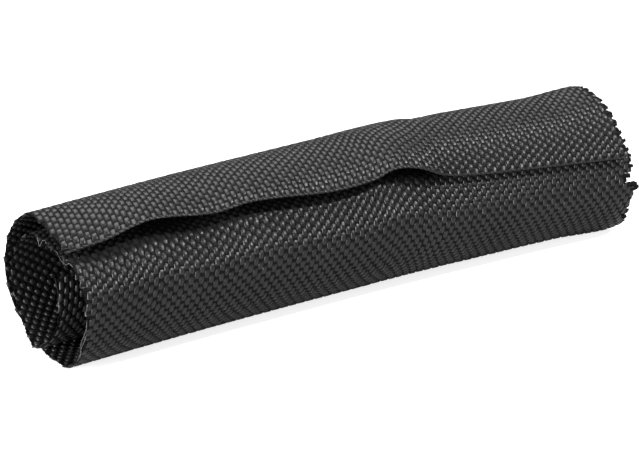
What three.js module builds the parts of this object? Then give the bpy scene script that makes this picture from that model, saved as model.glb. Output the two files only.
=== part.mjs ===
// Heat-resistant wrap sleeve: one rectangle of black woven cloth, heat-set so that it curls into
// nearly two turns. It lies on its side, as it comes to rest. The long free edge of the outer turn is
// the flap: it runs along the front of the top, and a bundle of cables is laid in by lifting it.
// X runs along the sleeve, -Y is the front and +Z is up. Lengths are in millimetres, angles in degrees.
import * as THREE from 'three';

// Driving sizes of the cloth
const LENGTH = 152;
const WALL = 0.9;
const RELIEF = 0.32;
const NUBS_ALONG = 42;
const NUBS_ACROSS = 62;

// Driving sizes of the roll
const ROLL_RADIUS = 18.2;
const TURN = 700;
const FLAT_DEPTH = 0.8;
const PLY_CLEARANCE = 0.35;
const CORE_WIDTH = 22.6;
const CORE_HEIGHT = 26.2;
const CORE_BACK = 3.9;
const CORE_DROP = 1.6;
const DIVE_ARC = 62;
const DIVE_EASE = 0.1;

// Driving sizes of the cut and frayed ends
const NEAR_TOOTH = 0.5;
const FAR_TOOTH = 1.2;
const TUFT = 2.2;
const TUFT_ANGLES = [317, 345];

// How the roll changes from the near end, 0, to the far end, 1: pairs of place and value
const SWELL = [[0, -0.55], [0.24, -0.15], [0.5, 0.2], [0.63, 0.45], [0.76, 0.1], [1, -0.25]];
const BOW = [[0, 0], [0.24, 0], [0.5, -1.2], [0.63, -2], [0.76, -3.7], [1, -7]];
const FLAP_ANGLE = [[0, 128.5], [0.06, 130.8], [0.13, 128], [0.23, 134.5], [0.3, 133.6], [0.43, 140.3],
  [0.51, 140], [0.55, 137], [0.59, 140], [0.63, 147], [0.69, 151], [0.8, 155], [1, 162]];
const FLAP_LIFT = [[0, 0.3], [0.05, 1.4], [0.13, 2.4], [0.24, 2], [0.37, 2.2], [0.5, 2.2], [0.56, 2.8],
  [0.61, 2.4], [0.66, 0.7], [0.74, 0.4], [1, 0.4]];
const FLAP_SAG = [[0, 2.6], [0.04, 1.4], [0.09, 0], [1, 0]];
const DIVE_START = [[0, 334], [0.15, 338], [0.43, 346], [0.6, 348], [0.7, 352], [1, 350]];

// Where on the section each of those shapes acts
const LIFT_ARC = 60;
const SAG_FROM = 25;
const SAG_TO = 62;
const EDGE_MARGIN = 8;

// Dents and flares: the angle on the section, half the arc, the wall's rise, the place along, half the reach
const SHAPES = [
  { name: 'flat of the near mouth', angle: 303, arc: 60, rise: -2, place: 0, reach: 0.2 },
  { name: 'crease behind the hump', angle: 78, arc: 26, rise: -0.7, place: 0.7, reach: 0.045 },
  { name: 'flare of the far mouth', angle: 96, arc: 55, rise: 1.5, place: 1, reach: 0.1 },
  { name: 'flare under the far mouth', angle: 235, arc: 40, rise: 0.8, place: 1, reach: 0.1 },
];

// How far each cut strays from square, by the angle round from the flap's edge, and how far in it is felt
const NEAR_CUT = [[0, 0], [170, 0], [222, 0.9], [260, 0], [500, 0], [590, -2], [650, -0.5], [700, 0]];
const FAR_CUT = [[0, -0.8], [20, -1.4], [60, -1.3], [90, -0.3], [130, 0], [250, 0.5], [275, 2], [296, 3],
  [306, 1.4], [320, 1], [345, 1.5], [360, 1], [400, 0], [700, 0]];
const CUT_REACH = 0.08;

const PLY_PITCH = WALL + 2 * RELIEF + PLY_CLEARANCE;
const FULL_CIRCLE = 360;

function smooth(from, to, value) {
  const s = THREE.MathUtils.clamp((value - from) / (to - from), 0, 1);
  return s * s * (3 - 2 * s);
}

// A smooth curve through pairs of place and value, with the slope at each pair from its neighbours.
function through(pairs) {
  const slope = pairs.map((pair, k) => {
    const before = pairs[Math.max(k - 1, 0)];
    const after = pairs[Math.min(k + 1, pairs.length - 1)];
    return (after[1] - before[1]) / (after[0] - before[0]);
  });
  return (place) => {
    let k = 0;
    while (k < pairs.length - 2 && place > pairs[k + 1][0]) k += 1;
    const width = pairs[k + 1][0] - pairs[k][0];
    const s = THREE.MathUtils.clamp((place - pairs[k][0]) / width, 0, 1);
    const rise = pairs[k + 1][1] - pairs[k][1];
    const bend = (1 - s) * (slope[k] * width - rise) + s * (rise - slope[k + 1] * width);
    return pairs[k][1] + s * rise + s * (1 - s) * bend;
  };
}

const swell = through(SWELL);
const bow = through(BOW);
const flapAngle = through(FLAP_ANGLE);
const flapLift = through(FLAP_LIFT);
const flapSag = through(FLAP_SAG);
const diveStart = through(DIVE_START);
const nearCut = through(NEAR_CUT);
const farCut = through(FAR_CUT);

// Radius of the middle of the wall in the outer turn, at a place along and an angle round from the flap.
function outerRadius(place, arc) {
  const angle = flapAngle(place) - arc;
  const sag = flapSag(place) * (1 - smooth(SAG_FROM, SAG_TO, arc));
  let radius = ROLL_RADIUS - WALL / 2 - RELIEF + swell(place) - sag;
  for (const shape of SHAPES) {
    const offAngle = Math.abs(THREE.MathUtils.euclideanModulo(angle - shape.angle + 180, FULL_CIRCLE) - 180);
    const offPlace = Math.abs(place - shape.place);
    radius += shape.rise * (1 - smooth(0, shape.arc, offAngle)) * (1 - smooth(0, shape.reach, offPlace));
  }
  return radius;
}

// How much of the way into the inner turn the cloth is: it bends off quickly, then runs out gently.
function dive(share) {
  const bent = Math.hypot(THREE.MathUtils.clamp(share, 0, 1), DIVE_EASE) - DIVE_EASE;
  const whole = Math.hypot(1, DIVE_EASE) - DIVE_EASE;
  return 1 - (1 - bent / whole) ** 2;
}

// The middle of the wall. Past the dive the cloth passes under the flap into a smaller inner turn.
function wallMiddle(place, arc) {
  const angle = THREE.MathUtils.degToRad(flapAngle(place) - arc);
  const start = diveStart(place);
  const inside = dive((arc - start) / DIVE_ARC);
  const lift = flapLift(place) * Math.pow(THREE.MathUtils.clamp(1 - arc / LIFT_ARC, 0, 1), 1.6);
  const outer = outerRadius(place, Math.min(arc, FULL_CIRCLE)) + lift;
  const drift = PLY_PITCH * Math.max(arc - start - DIVE_ARC, 0) / FULL_CIRCLE;
  const coreY = CORE_BACK + (CORE_WIDTH / 2 - drift) * Math.cos(angle);
  const coreZ = -CORE_DROP + (CORE_HEIGHT / 2 - drift) * Math.sin(angle);
  const y = THREE.MathUtils.lerp(outer * Math.cos(angle), coreY, inside);
  const z = THREE.MathUtils.lerp(outer * Math.sin(angle), coreZ, inside);

  const round = THREE.MathUtils.radToDeg(Math.atan2(z, y));
  const margin = EDGE_MARGIN * (1 - smooth(FULL_CIRCLE, FULL_CIRCLE + LIFT_ARC, arc));
  const arcOver = THREE.MathUtils.euclideanModulo(flapAngle(place) - round + margin, FULL_CIRCLE);
  const radius = Math.hypot(y, z);
  const room = outerRadius(place, arcOver) - PLY_PITCH;
  const under = smooth(FULL_CIRCLE - 5 * EDGE_MARGIN, FULL_CIRCLE - EDGE_MARGIN, arc);
  const held = radius > room ? THREE.MathUtils.lerp(1, room / radius, under) : 1;

  const centreHeight = ROLL_RADIUS - RELIEF + swell(place) - FLAT_DEPTH;
  const height = Math.max(centreHeight + z * held, WALL / 2 + under * PLY_PITCH);
  const near = nearCut(arc) * (1 - smooth(0, CUT_REACH, place));
  const far = farCut(arc) * smooth(1 - CUT_REACH, 1, place);
  return new THREE.Vector3((place - 0.5) * LENGTH + near + far, bow(place) + y * held, height);
}

// Angles round the roll that cut the cloth's width into equal steps, measured on the middle section.
function equalSteps(count) {
  const samples = 1400;
  const lengths = [0];
  let last = wallMiddle(0.5, 0);
  for (let k = 1; k <= samples; k += 1) {
    const next = wallMiddle(0.5, TURN * k / samples);
    lengths.push(lengths[k - 1] + next.distanceTo(last));
    last = next;
  }
  const arcs = [];
  let k = 0;
  for (let i = 0; i <= count; i += 1) {
    const wanted = lengths[samples] * i / count;
    while (k < samples - 1 && lengths[k + 1] < wanted) k += 1;
    const part = (wanted - lengths[k]) / (lengths[k + 1] - lengths[k]);
    arcs.push(TURN * (k + part) / samples);
  }
  return arcs;
}

// A point on the outside (side 1) or the inside (side -1) of the wall, raised where a yarn rides over.
function facePoint(place, arc, side, crown) {
  const small = 0.5;
  const middle = wallMiddle(place, arc);
  const acrossA = wallMiddle(place, Math.max(arc - small, 0));
  const acrossB = wallMiddle(place, Math.min(arc + small, TURN));
  const alongA = wallMiddle(Math.max(place - 0.004, 0), arc);
  const alongB = wallMiddle(Math.min(place + 0.004, 1), arc);
  const along = alongB.sub(alongA);
  const across = acrossB.sub(acrossA);
  const normal = along.cross(across).normalize();
  const lying = smooth(0, FLAT_DEPTH, middle.z - WALL / 2);
  const point = middle.addScaledVector(normal, side * WALL / 2 + crown * RELIEF * lying);
  point.z = Math.max(point.z, 0);
  return point;
}

// How far a yarn end sticks out past the cut: uneven teeth, and a tuft or two at the far end.
function toothLength(index, arc, isFar) {
  const isTip = index % 2 === 1;
  if (!isTip) return 0;
  const step = TURN / NUBS_ACROSS;
  if (isFar && TUFT_ANGLES.some((angle) => Math.abs(arc - angle) < step / 2)) return TUFT;
  const uneven = 1 + 0.45 * Math.sin(index * 2.4);
  return uneven * (isFar ? FAR_TOOTH : NEAR_TOOTH);
}

function makeSheet() {
  const arcs = equalSteps(NUBS_ACROSS);
  const positions = [];
  const triangles = [];

  function add(point) {
    positions.push(point.x, point.y, point.z);
    return positions.length / 3 - 1;
  }

  function isCrown(row, column) {
    return (row + column) % 2 === 0;
  }

  // The woven field: crowns and hollows in turn, as the yarns of a plain weave pass over and under.
  function makeFace(side) {
    const rows = [];
    for (let row = 0; row <= NUBS_ALONG; row += 1) {
      const place = row / NUBS_ALONG;
      rows.push(arcs.map((arc, column) => add(facePoint(place, arc, side, isCrown(row, column) ? 1 : -1))));
    }
    return rows;
  }

  // The cut end: twice as many points as the field, every second one the tip of a tooth.
  function makeEnd(isFar, side) {
    const place = isFar ? 1 : 0;
    const ring = [];
    for (let k = 0; k <= 2 * NUBS_ACROSS; k += 1) {
      const left = arcs[Math.floor(k / 2)];
      const right = arcs[Math.ceil(k / 2)];
      const arc = (left + right) / 2;
      const point = facePoint(place, arc, side, 0);
      const reach = LENGTH / NUBS_ALONG / 4 + toothLength(k, arc, isFar);
      point.x += isFar ? reach : -reach;
      ring.push(add(point));
    }
    return ring;
  }

  function triangle(a, b, c, isFlipped) {
    if (isFlipped) triangles.push(a, c, b);
    else triangles.push(a, b, c);
  }

  function quad(a, b, c, d, isFlipped) {
    triangle(a, b, c, isFlipped);
    triangle(a, c, d, isFlipped);
  }

  const faces = [1, -1].map((side) => ({
    side,
    rows: makeFace(side),
    near: makeEnd(false, side),
    far: makeEnd(true, side),
  }));

  for (const { side, rows, near, far } of faces) {
    const isInside = side < 0;
    for (let row = 0; row < NUBS_ALONG; row += 1) {
      for (let column = 0; column < NUBS_ACROSS; column += 1) {
        const a = rows[row][column];
        const b = rows[row + 1][column];
        const c = rows[row + 1][column + 1];
        const d = rows[row][column + 1];
        if (isCrown(row, column) === isInside) quad(a, b, c, d, isInside);
        else quad(b, c, d, a, isInside);
      }
    }
    for (let column = 0; column < NUBS_ACROSS; column += 1) {
      const k = 2 * column;
      const first = rows[0];
      const last = rows[NUBS_ALONG];
      triangle(near[k], first[column], near[k + 1], isInside);
      triangle(near[k + 1], first[column], first[column + 1], isInside);
      triangle(near[k + 1], first[column + 1], near[k + 2], isInside);
      triangle(last[column], far[k], far[k + 1], isInside);
      triangle(last[column], far[k + 1], last[column + 1], isInside);
      triangle(last[column + 1], far[k + 1], far[k + 2], isInside);
    }
  }

  // The thickness of the wall, closed along the two cut ends and the two long edges.
  const [outside, inside] = faces;
  for (let k = 0; k < 2 * NUBS_ACROSS; k += 1) {
    quad(outside.near[k], outside.near[k + 1], inside.near[k + 1], inside.near[k], false);
    quad(outside.far[k], outside.far[k + 1], inside.far[k + 1], inside.far[k], true);
  }
  for (const column of [0, NUBS_ACROSS]) {
    const end = 2 * column;
    const top = [outside.near[end], ...outside.rows.map((row) => row[column]), outside.far[end]];
    const under = [inside.near[end], ...inside.rows.map((row) => row[column]), inside.far[end]];
    for (let row = 0; row < top.length - 1; row += 1) {
      quad(top[row], under[row], under[row + 1], top[row + 1], column > 0);
    }
  }

  const geometry = new THREE.BufferGeometry();
  geometry.setAttribute('position', new THREE.Float32BufferAttribute(positions, 3));
  geometry.setIndex(triangles);
  geometry.computeBoundingBox();
  const centre = geometry.boundingBox.getCenter(new THREE.Vector3());
  geometry.translate(-centre.x, -centre.y, 0);
  geometry.computeVertexNormals();
  return geometry;
}

const wovenCloth = new THREE.MeshStandardMaterial({ color: 0x2c2c2e, roughness: 0.75, metalness: 0 });
const sleeve = new THREE.Mesh(makeSheet(), wovenCloth);
sleeve.name = 'sleeve';

const group = new THREE.Group();
group.add(sleeve);
export default group;
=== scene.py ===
# %% [markdown]
# Heat-resistant wrap sleeve
#
# The real sleeve is one rectangle of black cloth, woven from thick bundles of fine filaments and
# baked so that it curls up by itself. It was cut from a longer roll, so its two ends fray. Here the
# cloth is really woven: every yarn is a tube of its own that rides over one crossing yarn and dives
# under the next. All the yarns are first laid out flat, which is easy, and then carried onto a guide
# surface that is curled up as the cloth in the photograph is.

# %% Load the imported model
import math

import bpy
import numpy as np
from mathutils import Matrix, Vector


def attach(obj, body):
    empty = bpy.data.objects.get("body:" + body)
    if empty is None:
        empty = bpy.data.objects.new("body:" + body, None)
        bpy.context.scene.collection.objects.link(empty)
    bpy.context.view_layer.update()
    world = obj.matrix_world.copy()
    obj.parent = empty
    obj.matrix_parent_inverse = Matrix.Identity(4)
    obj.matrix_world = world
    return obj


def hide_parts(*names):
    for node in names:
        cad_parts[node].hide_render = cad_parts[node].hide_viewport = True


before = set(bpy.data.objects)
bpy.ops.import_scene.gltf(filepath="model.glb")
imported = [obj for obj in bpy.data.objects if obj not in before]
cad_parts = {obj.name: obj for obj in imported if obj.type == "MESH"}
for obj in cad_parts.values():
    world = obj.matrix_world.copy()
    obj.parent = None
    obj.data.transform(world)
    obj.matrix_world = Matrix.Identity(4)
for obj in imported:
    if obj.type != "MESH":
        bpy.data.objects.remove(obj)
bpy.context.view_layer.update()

# %% [markdown]
# The driving sizes
#
# The length, the roll's radius and the way it changes along the sleeve repeat what the CAD part says,
# because this surface takes its place. Distances are in millimetres and angles in degrees here, as in
# a maker's drawing, and become metres only when a mesh is made.

# %% Sizes of the cloth and of the roll
MM = 0.001
LENGTH = 152.0
ROLL_RADIUS = 18.2
TURN = 700.0
RING_RISE = 17.08
CORE_WIDTH, CORE_HEIGHT = 22.6, 26.2
CORE_BACK, CORE_DROP = 3.9, 1.6
DIVE_ARC, DIVE_EASE = 62.0, 0.1
PLY_PITCH = 1.75
CENTRE_X, CENTRE_Y = 1.09, -3.2
print("roll", LENGTH, "mm long and", 2 * ROLL_RADIUS, "mm across")

# %% Sizes of the yarns
ROUND_YARNS = 117
LONG_YARNS = 150
ROUND_HALF_WIDTH, ROUND_HALF_HEIGHT, ROUND_CRIMP = 0.66, 0.24, 0.14
LONG_HALF_WIDTH, LONG_HALF_HEIGHT = 0.72, 0.17
CROWN = ROUND_HALF_HEIGHT + ROUND_CRIMP
# A yarn lies flat for a long way where it rides over, and for a short way, pressed wider, where it dives.
OVER_SHARE, UNDER_SHARE = 0.45, 0.2
OVER_WIDTH, UNDER_WIDTH = 1.02, 1.2
ROUND_PITCH = LENGTH / ROUND_YARNS
SKEW = 0.2
print("yarns", ROUND_YARNS, "round the roll and", LONG_YARNS, "along it")

# %% How the roll changes from the near end, 0, to the far end, 1
SWELL = [(0, -0.55), (0.24, -0.15), (0.5, 0.2), (0.63, 0.45), (0.76, 0.1), (1, -0.25)]
BOW = [(0, 0), (0.24, 0), (0.5, -1.2), (0.63, -2), (0.76, -3.7), (1, -7)]
FLAP_ANGLE = [(0, 128.5), (0.06, 130.8), (0.13, 128), (0.23, 134.5), (0.3, 133.6), (0.43, 140.3),
              (0.51, 140), (0.55, 137), (0.59, 140), (0.63, 147), (0.69, 151), (0.8, 155), (1, 162)]
FLAP_LIFT = [(0, 0.3), (0.05, 1.4), (0.13, 2.4), (0.24, 2), (0.37, 2.2), (0.5, 2.2), (0.56, 2.8),
             (0.61, 2.4), (0.66, 0.7), (0.74, 0.4), (1, 0.4)]
FLAP_SAG = [(0, 2.6), (0.04, 1.4), (0.09, 0), (1, 0)]
DIVE_START = [(0, 334), (0.15, 338), (0.43, 346), (0.6, 348), (0.7, 352), (1, 350)]
LIFT_ARC, SAG_FROM, SAG_TO = 60.0, 25.0, 62.0
EDGE_MARGIN = 8.0

# %% Dents and the flare: angle on the section, half width of it, depth, place along and half reach
SHAPES = (("flat of the near mouth", 303, 60, -2.0, 0, 0.2),
          ("crease behind the hump", 78, 26, -0.7, 0.7, 0.045),
          ("flare of the far mouth", 96, 55, 1.5, 1, 0.1),
          ("flare under the far mouth", 235, 40, 0.8, 1, 0.1))

# %% How far each cut strays from square, by the angle round from the flap's edge
NEAR_CUT = [(0, 0), (170, 0), (222, 0.9), (260, 0), (500, 0), (590, -2), (650, -0.5), (700, 0)]
FAR_CUT = [(0, -0.8), (20, -1.4), (60, -1.3), (90, -0.3), (130, 0), (250, 0.5), (275, 2), (296, 3),
           (306, 1.4), (318, 1), (327, 1.5), (330, 2.8), (334, 3), (337, -0.6), (341, -0.6), (345, 1.2),
           (360, 1), (400, 0), (700, 0)]


# %% [markdown]
# Curves through a few values
#
# Each of those lists is a handful of readings. A smooth curve has to pass through them, or the flap
# would show a kink at every reading. A cubic piece between two readings, with its slopes taken from
# the neighbours, does that and stays close to the numbers.

# %% Curves through pairs of place and value
def smooth(start, end, value):
    share = np.clip((np.asarray(value, float) - start) / (end - start), 0, 1)
    return share * share * (3 - 2 * share)


def through(pairs, place):
    at = np.array([pair[0] for pair in pairs], float)
    value = np.array([pair[1] for pair in pairs], float)
    before = np.maximum(np.arange(len(at)) - 1, 0)
    after = np.minimum(np.arange(len(at)) + 1, len(at) - 1)
    slope = (value[after] - value[before]) / (at[after] - at[before])
    left = np.clip(np.searchsorted(at, place, side="right") - 1, 0, len(at) - 2)
    width = at[left + 1] - at[left]
    share = np.clip((place - at[left]) / width, 0, 1)
    rise = value[left + 1] - value[left]
    bend = (1 - share) * (slope[left] * width - rise) + share * (rise - slope[left + 1] * width)
    return value[left] + share * rise + share * (1 - share) * bend


# %% The curled cloth as a formula
def outer_radius(place, arc):
    """The radius of the outer turn, in millimetres, at an angle arc round from the flap's edge."""
    angle = through(FLAP_ANGLE, place) - arc
    radius = ROLL_RADIUS - CROWN + through(SWELL, place)
    radius = radius - through(FLAP_SAG, place) * (1 - smooth(SAG_FROM, SAG_TO, arc))
    for name, at_angle, half_arc, rise, at_place, reach in SHAPES:
        off_angle = np.abs(np.mod(angle - at_angle + 180, 360) - 180)
        off_place = np.abs(place - at_place)
        radius = radius + rise * (1 - smooth(0, half_arc, off_angle)) * (1 - smooth(0, reach, off_place))
    return radius


def dive(share):
    """From 0 to 1: bends off within the ease, then runs out gently."""
    bent = np.hypot(np.clip(share, 0, 1), DIVE_EASE) - DIVE_EASE
    return 1 - (1 - bent / (math.hypot(1, DIVE_EASE) - DIVE_EASE)) ** 2


def wall_middle(place, arc):
    """The middle of the cloth, in millimetres. Past the dive it turns under the flap into a smaller turn."""
    flap = through(FLAP_ANGLE, place)
    angle = np.radians(flap - arc)
    start = through(DIVE_START, place)
    inside = dive((arc - start) / DIVE_ARC)
    lift = through(FLAP_LIFT, place) * np.clip(1 - arc / LIFT_ARC, 0, 1.1) ** 1.6
    outer = outer_radius(place, np.minimum(arc, 360)) + lift
    drift = PLY_PITCH * np.maximum(arc - start - DIVE_ARC, 0) / 360
    core_y = CORE_BACK + (CORE_WIDTH / 2 - drift) * np.cos(angle)
    core_z = -CORE_DROP + (CORE_HEIGHT / 2 - drift) * np.sin(angle)
    y = outer * np.cos(angle) * (1 - inside) + core_y * inside
    z = outer * np.sin(angle) * (1 - inside) + core_z * inside
    # Once the cloth has gone round, it is drawn in to lie a ply's pitch below the turn above it.
    margin = EDGE_MARGIN * (1 - smooth(360, 360 + LIFT_ARC, arc))
    arc_over = np.mod(flap - np.degrees(np.arctan2(z, y)) + margin, 360)
    radius = np.hypot(y, z)
    room = outer_radius(place, arc_over) - PLY_PITCH
    under = smooth(360 - 5 * EDGE_MARGIN, 360 - EDGE_MARGIN, arc)
    held = 1 - under * (1 - np.minimum(room / radius, 1))
    # The weight of the roll flattens it where it lies, and the turn inside it keeps clear of that.
    height = np.maximum(RING_RISE + through(SWELL, place) + z * held, CROWN + under * PLY_PITCH)
    x = (place - 0.5) * LENGTH - CENTRE_X
    return np.stack([x, through(BOW, place) + y * held - CENTRE_Y, height], -1)


# %% [markdown]
# A guide surface
#
# The guide is a fine grid of that formula. Each of its points also remembers where it lies on the
# flat cloth, as a UV map, and which way is out. Geometry Nodes can then ask the guide for the place
# of any spot on the flat cloth. The grid runs a little past the cloth's edges, so that loose yarn
# ends find their place as well.

# %% Angles that step evenly along the cloth
SPARE = 8.0
ARC_BEFORE, ARC_AFTER = 25.6, 48.0
FINE_STEPS = 4200
fine_arc = np.linspace(-ARC_BEFORE, TURN + ARC_AFTER, FINE_STEPS)
fine_points = wall_middle(np.full(FINE_STEPS, 0.5), fine_arc)
fine_run = np.concatenate([[0], np.cumsum(np.linalg.norm(np.diff(fine_points, axis=0), axis=1))])
fine_run -= np.interp(0, fine_arc, fine_run)
WIDTH = float(np.interp(TURN, fine_arc, fine_run))
LONG_PITCH = WIDTH / LONG_YARNS
print("cloth", round(WIDTH, 1), "by", LENGTH, "mm, pitches", round(ROUND_PITCH, 3), round(LONG_PITCH, 3))


# %% Build the guide
CLOTH_TO_UV = 4.0
UV_ALONG, UV_ACROSS = 0.5, 0.05
GUIDE_COLUMNS, GUIDE_ROWS = 520, 200


def guide_points(along, across):
    """Points of the curled cloth, in metres, for places on the flat cloth in millimetres."""
    place = np.asarray(along, float) / LENGTH + 0.5
    arc = np.interp(across, fine_run, fine_arc)
    inner = np.clip(place, 0, 1)
    points = wall_middle(inner, arc)
    points[..., 0] += (place - inner) * LENGTH
    return points * MM


def outward(along, across):
    """Unit vectors that point out of the cloth, from its slopes along and across."""
    step = 0.3
    along_way = guide_points(along + step, across) - guide_points(along - step, across)
    across_way = guide_points(along, across + step) - guide_points(along, across - step)
    normal = np.cross(along_way, across_way)
    return normal / np.linalg.norm(normal, axis=-1, keepdims=True)


def make_guide():
    along = np.linspace(-LENGTH / 2 - SPARE, LENGTH / 2 + SPARE, GUIDE_ROWS)
    across = np.linspace(-SPARE / 2, WIDTH + SPARE / 2, GUIDE_COLUMNS)
    grid_along, grid_across = [part.ravel() for part in np.meshgrid(along, across, indexing="ij")]
    corner = np.arange(GUIDE_ROWS * GUIDE_COLUMNS).reshape(GUIDE_ROWS, GUIDE_COLUMNS)
    faces = np.stack([corner[:-1, :-1], corner[1:, :-1], corner[1:, 1:], corner[:-1, 1:]], -1).reshape(-1, 4)
    mesh = bpy.data.meshes.new("guide")
    mesh.from_pydata(guide_points(grid_along, grid_across), [], faces.tolist())
    spot = np.stack([grid_along * MM * CLOTH_TO_UV + UV_ALONG,
                     grid_across * MM * CLOTH_TO_UV + UV_ACROSS], -1)
    uv = mesh.uv_layers.new(name="cloth_spot")
    uv.data.foreach_set("uv", spot[faces.ravel()].astype(np.float32).ravel())
    out = mesh.attributes.new("out_way", "FLOAT_VECTOR", "POINT")
    out.data.foreach_set("vector", outward(grid_along, grid_across).astype(np.float32).ravel())
    arc = np.interp(grid_across, fine_run, fine_arc)
    near, far = LENGTH / 2 - through(NEAR_CUT, arc), LENGTH / 2 + through(FAR_CUT, arc)
    # The attribute has room for three numbers, and nothing reads the third.
    cut = mesh.attributes.new("cut_lines", "FLOAT_VECTOR", "POINT")
    cut.data.foreach_set("vector", (np.stack([near, far, near], -1) * MM).astype(np.float32).ravel())
    return mesh


guide_mesh = make_guide()
print("guide", len(guide_mesh.vertices), "points")


# %% [markdown]
# Small helpers for node trees
#
# A tree is easier to read when each node is one line: its kind, what goes into it and its settings.
# These helpers take a number or another node's output for every input.

# %% Helpers for node trees
def plug(tree, socket, value):
    if isinstance(value, bpy.types.NodeSocket):
        tree.links.new(value, socket)
    else:
        socket.default_value = value


def add(tree, kind, wires=None, **settings):
    node = tree.nodes.new(kind)
    for name, value in settings.items():
        setattr(node, name, value)
    for place, value in (wires or {}).items():
        plug(tree, node.inputs[place], value)
    return node


def calc(tree, operation, *values):
    return add(tree, "ShaderNodeMath", dict(enumerate(values)), operation=operation).outputs[0]


def vector(tree, x=0.0, y=0.0, z=0.0):
    return add(tree, "ShaderNodeCombineXYZ", {"X": x, "Y": y, "Z": z}).outputs[0]


def parts(tree, value):
    return add(tree, "ShaderNodeSeparateXYZ", {0: value}).outputs


def named(tree, name, kind="FLOAT"):
    return add(tree, "GeometryNodeInputNamedAttribute", {"Name": name}, data_type=kind).outputs["Attribute"]


def keep(tree, geometry, name, value, kind="FLOAT"):
    node = add(tree, "GeometryNodeStoreNamedAttribute", {"Geometry": geometry, "Name": name},
               data_type=kind, domain="POINT")
    plug(tree, node.inputs["Value"], value)
    return node.outputs[0]


def new_tree(name, numbers, counts):
    tree = bpy.data.node_groups.new(name, "GeometryNodeTree")
    face = tree.interface
    face.new_socket("Geometry", in_out="INPUT", socket_type="NodeSocketGeometry")
    for title in numbers:
        face.new_socket(title, in_out="INPUT", socket_type="NodeSocketFloat")
    for title in counts:
        face.new_socket(title, in_out="INPUT", socket_type="NodeSocketInt")
    face.new_socket("Material", in_out="INPUT", socket_type="NodeSocketMaterial")
    face.new_socket("Geometry", in_out="OUTPUT", socket_type="NodeSocketGeometry")
    return tree, tree.nodes.new("NodeGroupInput").outputs


def close_tree(tree, geometry, material):
    whole = add(tree, "GeometryNodeRealizeInstances", {0: geometry}).outputs[0]
    smooth_shaded = add(tree, "GeometryNodeSetShadeSmooth", {"Geometry": whole}).outputs[0]
    painted = add(tree, "GeometryNodeSetMaterial", {"Geometry": smooth_shaded, "Material": material})
    plug(tree, tree.nodes.new("NodeGroupOutput").inputs[0], painted.outputs[0])


def run_tree(name, mesh, tree, values):
    """A plain mesh object made by a tree, and the modifier is gone afterwards."""
    maker = bpy.data.objects.new(name + "_maker", mesh)
    bpy.context.collection.objects.link(maker)
    modifier = maker.modifiers.new("weave", "NODES")
    modifier.node_group = tree
    for item in tree.interface.items_tree:
        if item.in_out == "INPUT" and item.name in values:
            modifier[item.identifier] = values[item.name]
    graph = bpy.context.evaluated_depsgraph_get()
    made = bpy.data.meshes.new_from_object(maker.evaluated_get(graph), depsgraph=graph)
    maker.modifiers.remove(modifier)
    bpy.data.objects.remove(maker)
    piece = bpy.data.objects.new(name, made)
    made.name = name
    bpy.context.collection.objects.link(piece)
    print(name, len(made.polygons), "faces")
    return piece


# %% [markdown]
# The yarn tree
#
# A yarn is a straight tube with two rings of points for every yarn that it crosses. The two rings sit
# either side of the crossing, so that the yarn lies flat over it for a while, as a real float does,
# and then drops steeply. One tube is instanced once for each yarn, and every second one goes under
# where its neighbours go over. Only then are all the points moved from the flat cloth onto the guide.
#
# The yarns that run round the roll are the thick, well-crimped ones, and those that run along it are
# flatter and lie straight. Both come from this one function, turned by a switch.

# %% Lay points of the flat cloth on the guide
def ask_guide(tree, guide, along, across, value):
    """What the guide says at a spot of the flat cloth. The places are in metres."""
    spot = vector(tree, calc(tree, "MULTIPLY_ADD", along, CLOTH_TO_UV, UV_ALONG),
                  calc(tree, "MULTIPLY_ADD", across, CLOTH_TO_UV, UV_ACROSS))
    sample = add(tree, "GeometryNodeSampleUVSurface", data_type="FLOAT_VECTOR")
    plug(tree, sample.inputs["Mesh"], guide)
    plug(tree, sample.inputs["Value"], value)
    plug(tree, sample.inputs["UV Map"], named(tree, "cloth_spot", "FLOAT_VECTOR"))
    plug(tree, sample.inputs["Sample UV"], spot)
    return sample.outputs["Value"]


def lay_on_guide(tree, geometry, guide, along, across, height):
    """Moves each point to its place on the guide, height above it. The places are in metres."""
    ground = ask_guide(tree, guide, along, across, add(tree, "GeometryNodeInputPosition").outputs[0])
    out_way = ask_guide(tree, guide, along, across, named(tree, "out_way", "FLOAT_VECTOR"))
    raised = add(tree, "ShaderNodeVectorMath", {0: out_way}, operation="SCALE")
    plug(tree, raised.inputs["Scale"], height)
    place = add(tree, "ShaderNodeVectorMath", {0: ground, 1: raised.outputs[0]}, operation="ADD").outputs[0]
    return add(tree, "GeometryNodeSetPosition", {"Geometry": geometry, "Position": place}).outputs[0]


def without(tree, geometry, chosen):
    return add(tree, "GeometryNodeDeleteGeometry", {"Geometry": geometry, "Selection": chosen}).outputs[0]


# %% Put one tube after another on a rack
def rack_of_tubes(tree, line, sides, count):
    """A tube along the line, once for each yarn. Its points remember their place on the section."""
    path = add(tree, "GeometryNodeMeshToCurve", {0: line}).outputs[0]
    ring = add(tree, "GeometryNodeCurvePrimitiveCircle", {"Resolution": sides, "Radius": 1.0}).outputs[0]
    corner = add(tree, "GeometryNodeInputPosition").outputs[0]
    ring = keep(tree, ring, "round_yarn", corner, "FLOAT_VECTOR")
    tube = add(tree, "GeometryNodeCurveToMesh", {"Curve": path, "Profile Curve": ring, "Fill Caps": True})
    rack = add(tree, "GeometryNodeMeshLine", {"Count": count}).outputs[0]
    rack = keep(tree, rack, "yarn", add(tree, "GeometryNodeInputIndex").outputs[0])
    tubes = add(tree, "GeometryNodeInstanceOnPoints", {"Points": rack, "Instance": tube.outputs[0]})
    return add(tree, "GeometryNodeRealizeInstances", {0: tubes.outputs[0]}).outputs[0]


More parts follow.
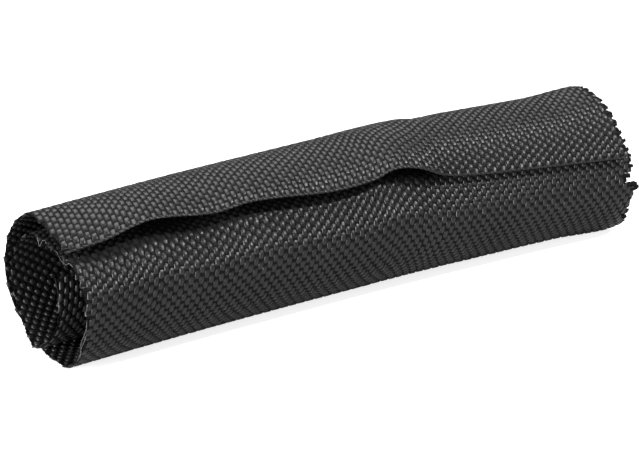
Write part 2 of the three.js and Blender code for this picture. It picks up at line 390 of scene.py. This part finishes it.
# %% How the yarns wander and how their ends fray
WANDER_ALONG, WANDER_ACROSS = 160.0, 900.0
WIDTH_WANDER, SIDE_WANDER, LIFT_WANDER = 0.35, 0.32, 0.16
OVERHANG_CROSSINGS = 3
OVERHANG_SPREAD, OVERHANG_LEAST = 0.8, 0.5
END_LEAN, END_THINNING, MOST_THINNING = 0.3, 300.0, 0.4


# %% Build the yarn tree
def make_yarn_tree(name, runs_round):
    tree, inlet = new_tree(
        name,
        numbers=("Crossing pitch", "First crossing", "Yarn pitch", "First yarn place", "Half width",
                 "Half height", "Crimp", "Near overhang", "Far overhang", "Skew", "Skew centre"),
        counts=("Crossings", "Lead rings", "Crossing parity", "Yarns", "Yarn parity", "Sides", "Seed"))
    index = add(tree, "GeometryNodeInputIndex").outputs[0]

    rings = calc(tree, "MULTIPLY_ADD", inlet["Crossings"], 2.0, inlet["Lead rings"])
    line = add(tree, "GeometryNodeMeshLine", {"Count": rings}).outputs[0]
    ring_number = calc(tree, "SUBTRACT", index, inlet["Lead rings"])
    crossing = calc(tree, "FLOOR", calc(tree, "DIVIDE", ring_number, 2.0))
    is_second = calc(tree, "FLOORED_MODULO", ring_number, 2.0)
    over = calc(tree, "FLOORED_MODULO", calc(tree, "ADD", crossing, inlet["Crossing parity"]), 2.0)
    side = calc(tree, "MULTIPLY_ADD", is_second, 2.0, -1.0)
    run = calc(tree, "MULTIPLY", crossing, inlet["Crossing pitch"])
    run = calc(tree, "ADD", run, inlet["First crossing"])
    line = keep(tree, line, "run", run)
    line = keep(tree, line, "side", side)
    line = keep(tree, line, "over", calc(tree, "MULTIPLY_ADD", over, 2.0, -1.0))
    line = add(tree, "GeometryNodeSetPosition", {"Geometry": line, "Position": vector(tree, run)}).outputs[0]
    yarns = rack_of_tubes(tree, line, inlet["Sides"], inlet["Yarns"])

    yarn = named(tree, "yarn")
    run = named(tree, "run")
    section = parts(tree, named(tree, "round_yarn", "FLOAT_VECTOR"))
    parity = calc(tree, "FLOORED_MODULO", calc(tree, "ADD", yarn, inlet["Yarn parity"]), 2.0)
    sign = calc(tree, "MULTIPLY", named(tree, "over"), calc(tree, "MULTIPLY_ADD", parity, 2.0, -1.0))
    yarns = keep(tree, yarns, "rides_over", sign if runs_round else calc(tree, "MULTIPLY", sign, -1.0))
    middle = calc(tree, "MULTIPLY_ADD", yarn, inlet["Yarn pitch"], inlet["First yarn place"])
    float_share = add(tree, "ShaderNodeMapRange", {"Value": sign, "From Min": -1.0, "From Max": 1.0,
                                                   "To Min": UNDER_SHARE, "To Max": OVER_SHARE}).outputs[0]
    float_half = calc(tree, "MULTIPLY", calc(tree, "MULTIPLY", named(tree, "side"), float_share),
                      inlet["Crossing pitch"])
    run = calc(tree, "ADD", run, float_half)
    if not runs_round:
        from_centre = calc(tree, "SUBTRACT", middle, inlet["Skew centre"])
        run = calc(tree, "MULTIPLY_ADD", from_centre, inlet["Skew"], run)

    seed = calc(tree, "MULTIPLY", inlet["Seed"], 3.7)
    wander_spot = vector(tree, calc(tree, "MULTIPLY", run, WANDER_ALONG),
                         calc(tree, "MULTIPLY", middle, WANDER_ACROSS), seed)
    wander = add(tree, "ShaderNodeTexNoise", {"Vector": wander_spot, "Scale": 1.0, "Detail": 1.0})
    shift = parts(tree, add(tree, "ShaderNodeVectorMath", {0: wander.outputs["Color"], 1: (0.5, 0.5, 0.5)},
                            operation="SUBTRACT").outputs[0])
    press = add(tree, "ShaderNodeMapRange", {"Value": sign, "From Min": -1.0, "From Max": 1.0,
                                             "To Min": UNDER_WIDTH, "To Max": OVER_WIDTH}).outputs[0]
    swell = calc(tree, "MULTIPLY_ADD", shift[2], WIDTH_WANDER, press)
    width = calc(tree, "MULTIPLY", inlet["Half width"], swell)
    sideways = calc(tree, "MULTIPLY_ADD", section[0], width, middle)
    sideways = calc(tree, "MULTIPLY_ADD", shift[0], SIDE_WANDER * MM, sideways)
    height = calc(tree, "MULTIPLY", section[1], inlet["Half height"])
    height = calc(tree, "MULTIPLY_ADD", sign, inlet["Crimp"], height)
    height = calc(tree, "MULTIPLY_ADD", shift[1], LIFT_WANDER * MM, height)

    guide = inlet["Geometry"]
    cut_lines = named(tree, "cut_lines", "FLOAT_VECTOR")
    if runs_round:
        # The yarns lean a little against the roll's axis, so some of them meet a cut part of the way.
        drift = calc(tree, "MULTIPLY", calc(tree, "SUBTRACT", run, inlet["Skew centre"]), inlet["Skew"])
        cut = parts(tree, ask_guide(tree, guide, 0.0, run, cut_lines))
        ring_place = calc(tree, "ADD", middle, drift)
        is_past_far = calc(tree, "GREATER_THAN", ring_place, cut[1])
        is_past_near = calc(tree, "LESS_THAN", calc(tree, "ADD", ring_place, cut[0]), 0.0)
        yarns = without(tree, yarns, calc(tree, "MAXIMUM", is_past_far, is_past_near))
        along, across = calc(tree, "ADD", sideways, drift), run
    else:
        # Past the cut an end keeps a random share of its overhang, and two by two the ends lean
        # towards each other, which makes the teeth of a fraying cut.
        cut = parts(tree, ask_guide(tree, guide, 0.0, middle, cut_lines))
        is_far = calc(tree, "GREATER_THAN", run, 0.0)
        edge = add(tree, "ShaderNodeMix", {"Factor": is_far, "A": cut[0], "B": cut[1]}).outputs[0]
        beyond = calc(tree, "MAXIMUM", calc(tree, "SUBTRACT", calc(tree, "ABSOLUTE", run), edge), 0.0)
        most = calc(tree, "MULTIPLY", inlet["Crossing pitch"], float(OVERHANG_CROSSINGS))
        yarns = without(tree, yarns, calc(tree, "GREATER_THAN", beyond, most))
        chance_spot = vector(tree, calc(tree, "MULTIPLY", yarn, 0.731),
                             calc(tree, "MULTIPLY", is_far, 5.0), seed)
        chance = add(tree, "ShaderNodeTexWhiteNoise", {"Vector": chance_spot}).outputs["Value"]
        near_far = add(tree, "ShaderNodeMix", {"Factor": is_far, "A": inlet["Near overhang"],
                                               "B": inlet["Far overhang"]}).outputs[0]
        luck = calc(tree, "MULTIPLY_ADD", chance, OVERHANG_SPREAD, OVERHANG_LEAST)
        share = calc(tree, "MULTIPLY", near_far, luck)
        reach = calc(tree, "MULTIPLY", beyond, share)
        inside_edge = calc(tree, "MINIMUM", calc(tree, "ABSOLUTE", run), edge)
        along = calc(tree, "MULTIPLY", calc(tree, "SIGN", run), calc(tree, "ADD", reach, inside_edge))
        lean = calc(tree, "MULTIPLY_ADD", parity, 2.0, -1.0)
        lean = calc(tree, "MULTIPLY", lean, calc(tree, "MULTIPLY", reach, END_LEAN))
        thinned = calc(tree, "MINIMUM", calc(tree, "MULTIPLY", reach, END_THINNING), MOST_THINNING)
        thin = calc(tree, "SUBTRACT", 1.0, thinned)
        across = calc(tree, "MULTIPLY_ADD", calc(tree, "SUBTRACT", sideways, middle), thin,
                      calc(tree, "ADD", middle, lean))

    laid = lay_on_guide(tree, yarns, guide, along, across, height)
    close_tree(tree, laid, inlet["Material"])
    return tree


round_tree = make_yarn_tree("yarns round the roll", True)
long_tree = make_yarn_tree("yarns along the roll", False)
print("trees", round_tree.name, "and", long_tree.name)

# %% [markdown]
# The turning loops
#
# At a woven edge the yarn doesn't stop: it turns round the last long yarn and goes back as its own
# neighbour. Those loops are half ellipses, one between any two neighbours, which start where one
# yarn ends above and come back where the next one ends below.

# %% Build the loop tree
LOOP_RINGS = 8


def make_loop_tree():
    tree, inlet = new_tree("turning loops", numbers=(
        "Loop pitch", "First loop place", "Loop width", "Loop reach", "Edge place", "Way", "Half width",
        "Half height", "Crimp", "Skew", "Skew centre"), counts=("Loops", "Sides"))
    index = add(tree, "GeometryNodeInputIndex").outputs[0]
    line = add(tree, "GeometryNodeMeshLine", {"Count": LOOP_RINGS}).outputs[0]
    line = keep(tree, line, "share", calc(tree, "DIVIDE", index, float(LOOP_RINGS - 1)))
    loops = rack_of_tubes(tree, line, inlet["Sides"], inlet["Loops"])

    turn = calc(tree, "MULTIPLY", named(tree, "share"), math.pi)
    section = parts(tree, named(tree, "round_yarn", "FLOAT_VECTOR"))
    from_centre = calc(tree, "SUBTRACT", inlet["Edge place"], inlet["Skew centre"])
    centre = calc(tree, "MULTIPLY_ADD", named(tree, "yarn"), inlet["Loop pitch"], inlet["First loop place"])
    centre = calc(tree, "MULTIPLY_ADD", from_centre, inlet["Skew"], centre)
    cut_lines = named(tree, "cut_lines", "FLOAT_VECTOR")
    cut = parts(tree, ask_guide(tree, inlet["Geometry"], 0.0, inlet["Edge place"], cut_lines))
    is_past_far = calc(tree, "GREATER_THAN", calc(tree, "ADD", centre, inlet["Loop width"]), cut[1])
    is_past_near = calc(tree, "LESS_THAN", calc(tree, "ADD", centre, cut[0]), inlet["Loop width"])
    loops = without(tree, loops, calc(tree, "MAXIMUM", is_past_far, is_past_near))
    sideways = calc(tree, "MULTIPLY", section[0], inlet["Half width"])
    wide = calc(tree, "ADD", inlet["Loop width"], sideways)
    bow = calc(tree, "MULTIPLY", wide, calc(tree, "COSINE", turn))
    along = calc(tree, "SUBTRACT", centre, bow)
    long = calc(tree, "ADD", inlet["Loop reach"], sideways)
    swing = calc(tree, "MULTIPLY", long, calc(tree, "SINE", turn))
    across = calc(tree, "MULTIPLY_ADD", swing, inlet["Way"], inlet["Edge place"])
    height = calc(tree, "MULTIPLY", section[1], inlet["Half height"])
    height = calc(tree, "MULTIPLY_ADD", calc(tree, "COSINE", turn), inlet["Crimp"], height)
    loops = keep(tree, loops, "run", calc(tree, "MULTIPLY", named(tree, "share"), 2.0 * MM))
    loops = keep(tree, loops, "rides_over", 1.0)
    laid = lay_on_guide(tree, loops, inlet["Geometry"], along, across, height)
    close_tree(tree, laid, inlet["Material"])
    return tree


loop_tree = make_loop_tree()
print("tree", loop_tree.name)

# %% [markdown]
# Black yarn
#
# A yarn is a flat bundle of hundreds of filaments as fine as hair. They lie side by side, so the yarn
# is nearly black with a soft gloss along its crown. The bump streaks run along the yarn, because the
# noise is stretched along the attribute that every tube keeps for its own run. The colour also holds
# painted shade, darker down the flanks and where a yarn dives. The yarns along the roll lie deep
# between the others and keep no gloss, and their darker colour is painted shade, so they read as the
# dark gaps of the weave.

# %% Shader of the filaments
def make_filament_group():
    group = bpy.data.node_groups.new("filaments", "ShaderNodeTree")
    face = group.interface
    face.new_socket("Streaks", in_out="INPUT", socket_type="NodeSocketFloat")
    face.new_socket("Depth", in_out="INPUT", socket_type="NodeSocketFloat")
    face.new_socket("Dark", in_out="INPUT", socket_type="NodeSocketColor")
    face.new_socket("Light", in_out="INPUT", socket_type="NodeSocketColor")
    face.new_socket("Color", in_out="OUTPUT", socket_type="NodeSocketColor")
    face.new_socket("Roughness", in_out="OUTPUT", socket_type="NodeSocketFloat")
    face.new_socket("Normal", in_out="OUTPUT", socket_type="NodeSocketVector")
    inlet = group.nodes.new("NodeGroupInput").outputs
    section = parts(group, add(group, "ShaderNodeAttribute", attribute_name="round_yarn").outputs["Vector"])
    run = add(group, "ShaderNodeAttribute", attribute_name="run").outputs["Fac"]
    yarn = add(group, "ShaderNodeAttribute", attribute_name="yarn").outputs["Fac"]
    spot = vector(group, calc(group, "MULTIPLY", run, 700.0),
                  calc(group, "MULTIPLY", section[0], inlet["Streaks"]), calc(group, "MULTIPLY", yarn, 7.3))
    streak = add(group, "ShaderNodeTexNoise", {"Vector": spot, "Scale": 1.0, "Detail": 3.0,
                                               "Roughness": 0.65}).outputs["Fac"]
    patch = add(group, "ShaderNodeTexNoise", {"Vector": add(group, "ShaderNodeTexCoord").outputs["Object"],
                                              "Scale": 55.0, "Detail": 2.0}).outputs["Fac"]
    mixed = calc(group, "MULTIPLY_ADD", streak, 0.7, calc(group, "MULTIPLY", patch, 0.3))
    shade = add(group, "ShaderNodeMapRange", {"Value": mixed, "From Min": 0.3, "From Max": 0.7}).outputs[0]
    # Painted shade: the colour is darkened down each yarn's flanks and, on the side that shows, where the
    # yarn dives, for the shade that falls between the yarns.
    crown = add(group, "ShaderNodeMapRange", {"Value": calc(group, "ABSOLUTE", section[1]), "From Min": -0.2,
                                              "From Max": 0.85}).outputs[0]
    rides_over = add(group, "ShaderNodeAttribute", attribute_name="rides_over").outputs["Fac"]
    on_show = calc(group, "MULTIPLY", rides_over, section[1])
    dive_shade = add(group, "ShaderNodeMapRange", {"Value": on_show, "From Min": -0.5, "From Max": 0.6,
                                              "To Min": 0.3}).outputs[0]
    painted_shade = calc(group, "MULTIPLY", crown, dive_shade)
    shade = calc(group, "MULTIPLY", shade, calc(group, "MULTIPLY_ADD", painted_shade, 0.8, 0.2))
    color = add(group, "ShaderNodeMix", data_type="RGBA")
    plug(group, color.inputs[0], shade)
    plug(group, color.inputs[6], inlet["Dark"])
    plug(group, color.inputs[7], inlet["Light"])
    rough = add(group, "ShaderNodeMapRange", {"Value": mixed, "From Min": 0.3, "From Max": 0.7,
                                              "To Min": 0.4, "To Max": 0.24}).outputs[0]
    bump = add(group, "ShaderNodeBump", {"Height": streak, "Strength": 0.6, "Distance": inlet["Depth"]})
    out = group.nodes.new("NodeGroupOutput").inputs
    plug(group, out["Color"], color.outputs[2])
    plug(group, out["Roughness"], rough)
    plug(group, out["Normal"], bump.outputs[0])
    return group


filaments = make_filament_group()
print("shader group", filaments.name)


# %% Two black yarns from one shader
def make_yarn_material(name, dark, light, streaks, depth, specular, sheen):
    material = bpy.data.materials.new(name)
    material.use_nodes = True
    tree = material.node_tree
    shader = tree.nodes["Principled BSDF"]
    fibres = add(tree, "ShaderNodeGroup", node_tree=filaments)
    fibres.inputs["Streaks"].default_value = streaks
    fibres.inputs["Depth"].default_value = depth
    fibres.inputs["Dark"].default_value = (*dark, 1)
    fibres.inputs["Light"].default_value = (*light, 1)
    plug(tree, shader.inputs["Base Color"], fibres.outputs["Color"])
    plug(tree, shader.inputs["Roughness"], fibres.outputs["Roughness"])
    plug(tree, shader.inputs["Normal"], fibres.outputs["Normal"])
    shader.inputs["Specular IOR Level"].default_value = specular
    shader.inputs["Sheen Weight"].default_value = sheen
    shader.inputs["Sheen Roughness"].default_value = 0.5
    return material


round_black = make_yarn_material("black yarn round the roll", dark=(0.006, 0.006, 0.0061),
                                 light=(0.015, 0.015, 0.0154), streaks=9.0, depth=0.06 * MM,
                                 specular=0.22, sheen=0.02)
# The yarns along the roll are the same black yarn, darker and almost without gloss: painted shade in the
# gaps.
long_black_painted_shade = make_yarn_material("black yarn along the roll, darker for painted shade", dark=(0.006, 0.006, 0.0061),
                                light=(0.011, 0.011, 0.0112), streaks=8.0, depth=0.06 * MM,
                                specular=0.01, sheen=0.0)
print("materials", round_black.name, long_black_painted_shade.name)

# %% [markdown]
# Weave the cloth
#
# The cloth is woven in three lengths, near, middle and far, and each length has its round yarns in one
# piece and its long yarns in another. That keeps every piece at a size that other programs can open.

# %% Weave three lengths of cloth
ZONES = (("near", 0, 39), ("middle", 39, 39), ("far", 78, 39))
CUT_REACH = 3.2
SPARE_YARNS = math.ceil((SKEW * WIDTH / 2 + CUT_REACH) / ROUND_PITCH)
NEAR_OVERHANG, FAR_OVERHANG = 0.06, 0.3
ROUND_SIDES, LONG_SIDES = 6, 5


def spare_yarns(first, count):
    return (SPARE_YARNS if first == 0 else 0), (SPARE_YARNS if first + count == ROUND_YARNS else 0)


def weave_round(zone, first, count):
    before, after = spare_yarns(first, count)
    return run_tree(f"cloth_{zone}_round_yarns", guide_mesh, round_tree, {
        "Crossing pitch": LONG_PITCH * MM,
        "First crossing": LONG_PITCH * MM / 2,
        "Yarn pitch": ROUND_PITCH * MM,
        "First yarn place": ((first - before + 0.5) * ROUND_PITCH - LENGTH / 2) * MM,
        "Half width": ROUND_HALF_WIDTH * MM,
        "Half height": ROUND_HALF_HEIGHT * MM,
        "Crimp": ROUND_CRIMP * MM,
        "Skew": SKEW,
        "Skew centre": WIDTH / 2 * MM,
        "Crossings": LONG_YARNS,
        "Lead rings": 0,
        "Crossing parity": 0,
        "Yarns": before + count + after,
        "Yarn parity": first - before,
        "Sides": ROUND_SIDES,
        "Seed": 1 + first,
        "Material": round_black,
    })


def weave_long(zone, first, count):
    before, after = spare_yarns(first, count)
    return run_tree(f"cloth_{zone}_long_yarns", guide_mesh, long_tree, {
        "Crossing pitch": ROUND_PITCH * MM,
        "First crossing": ((first - before + 0.5) * ROUND_PITCH - LENGTH / 2) * MM,
        "Yarn pitch": LONG_PITCH * MM,
        "First yarn place": LONG_PITCH * MM / 2,
        "Half width": LONG_HALF_WIDTH * MM,
        "Half height": LONG_HALF_HEIGHT * MM,
        "Crimp": 0.0,
        "Near overhang": NEAR_OVERHANG,
        "Far overhang": FAR_OVERHANG,
        "Skew": SKEW,
        "Skew centre": WIDTH / 2 * MM,
        "Crossings": before + count + after,
        "Lead rings": 0 if first == 0 else 1,
        "Crossing parity": (first - before) % 2,
        "Yarns": LONG_YARNS,
        "Yarn parity": 0,
        "Sides": LONG_SIDES,
        "Seed": 50,
        "Material": long_black_painted_shade,
    })


round_pieces = {zone: weave_round(zone, first, count) for zone, first, count in ZONES}
long_pieces = {zone: weave_long(zone, first, count) for zone, first, count in ZONES}

# %% Turn the loops on the two woven edges
LOOP_REACH, LOOP_HALF_WIDTH, LOOP_INSET = 0.25, 0.38, 0.3


def weave_loops(name, edge_place, way):
    return run_tree(name, guide_mesh, loop_tree, {
        "Loop pitch": ROUND_PITCH * MM,
        "First loop place": ((1 - SPARE_YARNS) * ROUND_PITCH - LENGTH / 2) * MM,
        "Loop width": ROUND_PITCH / 2 * MM,
        "Loop reach": LOOP_REACH * MM,
        "Edge place": edge_place * MM,
        "Way": way,
        "Half width": LOOP_HALF_WIDTH * MM,
        "Half height": ROUND_HALF_HEIGHT * MM,
        "Crimp": ROUND_CRIMP * MM,
        "Skew": SKEW,
        "Skew centre": WIDTH / 2 * MM,
        "Loops": ROUND_YARNS + 2 * SPARE_YARNS,
        "Sides": ROUND_SIDES,
        "Material": round_black,
    })


flap_loops = weave_loops("cloth_flap_edge_loops", LOOP_INSET, -1.0)
inner_loops = weave_loops("cloth_inner_edge_loops", WIDTH - LOOP_INSET, 1.0)

# %% [markdown]
# Loose filaments
#
# Where the knife went through, a few single filaments have sprung out of the near mouth. They follow
# the cut for a short way, bow out of it and wave a little, and they look lighter than packed yarn.

# %% Lay the loose filaments: first and last angle, how far they bow out and how far they wave
LOOSE_FILAMENTS = [(345, 366, 0.5, 0.4), (376, 392, 0.8, 0.9), (262, 300, 0.4, 0.2), (268, 306, 0.8, 0.3)]
FILAMENT_RADIUS, FILAMENT_POINTS, HALF_WAVES = 0.05, 30, 3.2


def lay_filaments(name):
    curve = bpy.data.curves.new(name, "CURVE")
    curve.dimensions = "3D"
    curve.bevel_depth = FILAMENT_RADIUS * MM
    curve.bevel_resolution = 1
    for first_arc, last_arc, bow, wave in LOOSE_FILAMENTS:
        share = np.linspace(0, 1, FILAMENT_POINTS)
        arc = first_arc + (last_arc - first_arc) * share
        points = wall_middle(np.zeros(FILAMENT_POINTS), arc)
        points[:, 0] += through(NEAR_CUT, arc) - bow * np.sin(math.pi * share)
        out = points[:, 1:] - np.array([-CENTRE_Y, RING_RISE])
        out /= np.linalg.norm(out, axis=1, keepdims=True)
        points[:, 1:] += out * (wave * np.sin(HALF_WAVES * math.pi * share))[:, None]
        points[:, 2] = np.maximum(points[:, 2], 2 * FILAMENT_RADIUS)
        spline = curve.splines.new("POLY")
        spline.points.add(FILAMENT_POINTS - 1)
        for spot, place in zip(spline.points, points):
            spot.co = (*(place * MM), 1)
    bent = bpy.data.objects.new(name + "_curve", curve)
    mesh = bpy.data.meshes.new_from_object(bent)
    bpy.data.objects.remove(bent)
    bpy.data.curves.remove(curve)
    mesh.name = name
    material = bpy.data.materials.new("pale loose filament")
    material.use_nodes = True
    shader = material.node_tree.nodes["Principled BSDF"]
    shader.inputs["Base Color"].default_value = (0.07, 0.07, 0.07, 1)
    shader.inputs["Roughness"].default_value = 0.35
    mesh.materials.append(material)
    piece = bpy.data.objects.new(name, mesh)
    bpy.context.collection.objects.link(piece)
    print(name, len(mesh.polygons), "faces")
    return piece


loose_filaments = lay_filaments("cloth_loose_filaments")

# %% [markdown]
# Say what the pieces are
#
# Every piece of cloth hangs from the root body, and the sleeve's solid from the model is hidden,
# because the woven cloth takes its place.

# %% Bodies of the pieces, and the solid hidden
cloth_pieces = [*round_pieces.values(), *long_pieces.values(), flap_loops, inner_loops, loose_filaments]
for piece in cloth_pieces:
    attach(piece, "root")
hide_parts("sleeve")
print(len(cloth_pieces), "pieces of cloth")

# %% [markdown]
# The camera
#
# The direction and the distance were fitted until the roll's outline fell on the one in the
# photograph. The two small shifts put the roll at the same place in the picture.

# %% Camera, at the photograph's viewing angle
AZIMUTH, ELEVATION = math.radians(-36.9), math.radians(21.0)
back = Vector((math.sin(AZIMUTH) * math.cos(ELEVATION), -math.cos(AZIMUTH) * math.cos(ELEVATION),
               math.sin(ELEVATION)))
right = Vector((math.cos(AZIMUTH), math.sin(AZIMUTH), 0))
up = back.cross(right)
FIT_HEIGHT, SHIFT_RIGHT, SHIFT_UP = 16.88, 1.14, 2.85
DISTANCE, FOCAL_PIXELS, PHOTO_WIDTH, SENSOR_WIDTH = 546.0, 2310.0, 639.0, 36.0
target = Vector((-CENTRE_X, -CENTRE_Y, FIT_HEIGHT)) - SHIFT_RIGHT * right - SHIFT_UP * up
camera_data = bpy.data.cameras.new("camera")
camera_data.sensor_width = SENSOR_WIDTH
camera_data.lens = SENSOR_WIDTH * FOCAL_PIXELS / PHOTO_WIDTH
camera = bpy.data.objects.new("camera", camera_data)
bpy.context.collection.objects.link(camera)
camera.location = (target + back * DISTANCE) * MM
camera.rotation_euler = (-back).to_track_quat("-Z", "Y").to_euler()
bpy.context.scene.camera = camera
print("camera at", [round(value, 4) for value in camera.location])

# %% [markdown]
# Floor, background and lamps
#
# Such pictures are cut out on pure white. White light from all round would wash the black cloth out,
# so floor and sky look white to the camera only, and light the cloth much less. A wide softbox above
# lights the flap, a small lamp at the right front makes the bright dots on the crowns just below the
# flap, and two fills reach into the mouth and under the flap.

# %% Floor and background
FLOOR_HALF, FLOOR_GLOW = 3.0, 0.8


def make_floor():
    mesh = bpy.data.meshes.new("floor")
    corners = [(x * FLOOR_HALF, y * FLOOR_HALF, 0) for x, y in ((-1, -1), (1, -1), (1, 1), (-1, 1))]
    mesh.from_pydata(corners, [], [(0, 1, 2, 3)])
    floor = bpy.data.objects.new("floor", mesh)
    bpy.context.collection.objects.link(floor)
    material = bpy.data.materials.new("pale floor")
    material.use_nodes = True
    shader = material.node_tree.nodes["Principled BSDF"]
    shader.inputs["Base Color"].default_value = (0.4, 0.4, 0.4, 1)
    shader.inputs["Roughness"].default_value = 0.7
    shader.inputs["Emission Color"].default_value = (1, 1, 1, 1)
    rays = add(material.node_tree, "ShaderNodeLightPath").outputs
    plug(material.node_tree, shader.inputs["Emission Strength"],
         calc(material.node_tree, "MULTIPLY", rays["Is Camera Ray"], FLOOR_GLOW))
    mesh.materials.append(material)
    return floor


floor = make_floor()
world = bpy.data.worlds.new("studio")
bpy.context.scene.world = world
world.use_nodes = True
sky = world.node_tree.nodes["Background"]
sky.inputs["Color"].default_value = (1, 1, 1, 1)
SKY_LIGHT, SKY_SEEN = 0.12, 1.0
rays = add(world.node_tree, "ShaderNodeLightPath").outputs
seen = calc(world.node_tree, "MULTIPLY_ADD", rays["Is Camera Ray"], SKY_SEEN - SKY_LIGHT, SKY_LIGHT)
plug(world.node_tree, sky.inputs["Strength"], seen)
print("floor and", world.name)


# %% Lamps: place in metres, size in metres and power in watts
LAMP_AIM = Vector((0, 0, 0.02))


def add_lamp(name, place, size, power):
    data = bpy.data.lights.new(name, "AREA")
    data.shape = "SQUARE"
    data.size = size
    data.energy = power
    lamp = bpy.data.objects.new(name, data)
    lamp.location = place
    lamp.rotation_euler = (Vector(place) - LAMP_AIM).to_track_quat("Z", "Y").to_euler()
    bpy.context.collection.objects.link(lamp)
    print(name, power, "W")


add_lamp("overhead softbox", (0.1, 0.35, 0.95), 1.0, 21)
add_lamp("right front lamp", (0.56, -0.45, 0.7), 0.05, 14)
add_lamp("left fill", (-1.0, -0.1, 0.16), 0.4, 32)
add_lamp("low front fill", (-0.4, -0.9, 0.15), 0.5, 2)

view = bpy.context.scene.view_settings
view.view_transform = "Standard"
